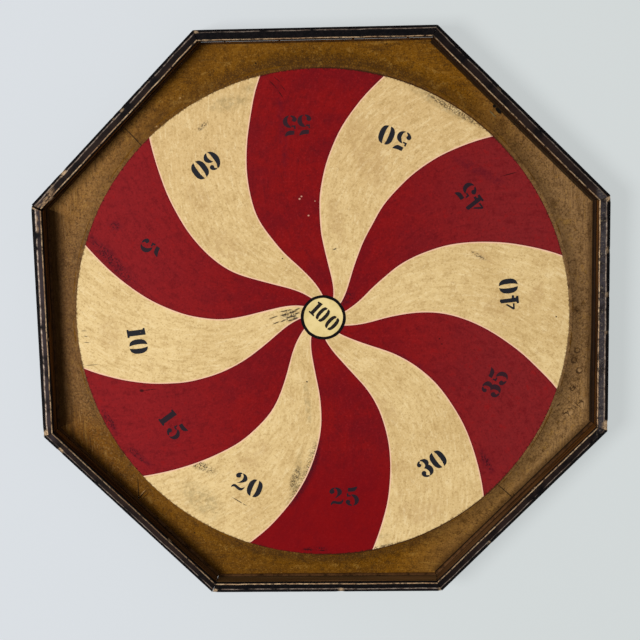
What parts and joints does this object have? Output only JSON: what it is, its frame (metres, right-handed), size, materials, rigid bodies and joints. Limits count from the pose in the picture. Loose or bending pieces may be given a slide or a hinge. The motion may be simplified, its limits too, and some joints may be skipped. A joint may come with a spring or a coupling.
{
  "type": "penny pitch board",
  "caption": "Octagonal wooden game tray with a raised rim and a round swirl target in red and cream, scored with numbers, for pitching coins.",
  "frame": {"origin": "under the middle of the target, on the surface that the battens rest on", "axes": "+Z out of the painted face, +Y towards the side that is uppermost when the board hangs, +X to the right seen from the front"},
  "size_m": [0.711, 0.711, 0.046],
  "materials": {
    "rim_black": "old black paint, worn to bare wood along the edges",
    "bead_brown": "dark brown stain",
    "field_ochre": "old ochre paint, satin",
    "panel_ochre": "ochre paint on the edge, bare wood behind",
    "sector_red": "worn crimson paint, satin",
    "sector_cream": "worn cream paint, satin",
    "ring_black": "black paint",
    "spot_cream": "worn yellowish cream paint",
    "batten_pine": "bare aged pine",
    "nail_steel": "darkened steel"
  },
  "bodies": {
    "root": {"rail_right": "rim_black", "rail_top_right": "rim_black", "rail_top": "rim_black", "rail_top_left": "rim_black", "rail_left": "rim_black", "rail_bottom_left": "rim_black", "rail_bottom": "rim_black", "rail_bottom_right": "rim_black", "foot_bead_right": "bead_brown", "foot_bead_top_right": "bead_brown", "foot_bead_top": "bead_brown", "foot_bead_top_left": "bead_brown", "foot_bead_left": "bead_brown", "foot_bead_bottom_left": "bead_brown", "foot_bead_bottom": "bead_brown", "foot_bead_bottom_right": "bead_brown", "field_board_right": "field_ochre", "field_board_top": "field_ochre", "field_board_left": "field_ochre", "field_board_bottom": "field_ochre", "target_plank_1": "panel_ochre", "target_plank_2": "panel_ochre", "target_plank_3": "panel_ochre", "target_plank_4": "panel_ochre", "sector_45": "sector_red", "sector_50": "sector_cream", "sector_55": "sector_red", "sector_60": "sector_cream", "sector_5": "sector_red", "sector_10": "sector_cream", "sector_15": "sector_red", "sector_20": "sector_cream", "sector_25": "sector_red", "sector_30": "sector_cream", "sector_35": "sector_red", "sector_40": "sector_cream", "centre_ring": "ring_black", "centre_spot": "spot_cream", "batten_upper": "batten_pine", "batten_lower": "batten_pine", "rail_nails": "nail_steel", "target_brads": "nail_steel", "batten_screws": "nail_steel"}
  },
  "joints": []
}
